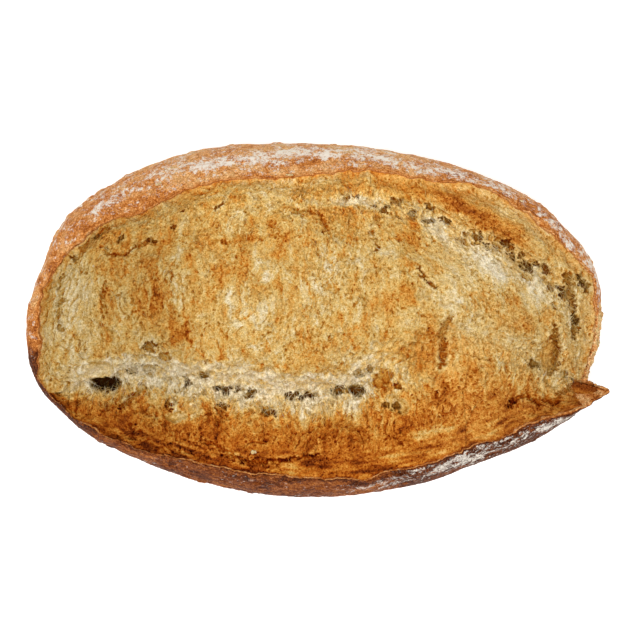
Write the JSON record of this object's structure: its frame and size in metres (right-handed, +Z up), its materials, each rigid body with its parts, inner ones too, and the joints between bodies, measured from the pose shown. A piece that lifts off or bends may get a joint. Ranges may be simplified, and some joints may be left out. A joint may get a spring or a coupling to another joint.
{
  "type": "bloomer loaf",
  "caption": "Long oval hearth loaf with one wide lengthwise slash: a torn, swollen bloom beside a raised ear of crust, resting on a flat base.",
  "frame": {"origin": "middle of the flat base, under the centre of the loaf's outline", "axes": "+X along the loaf towards the ear's free tip, +Y away from the ear, +Z up to the bloom"},
  "size_m": [0.2774, 0.1697, 0.0914],
  "materials": {
    "crust": "baked bread: torn golden crumb on top, smooth floured brown skin round the sides and base, matte all over"
  },
  "bodies": {
    "root": {"loaf": "crust"}
  },
  "joints": []
}
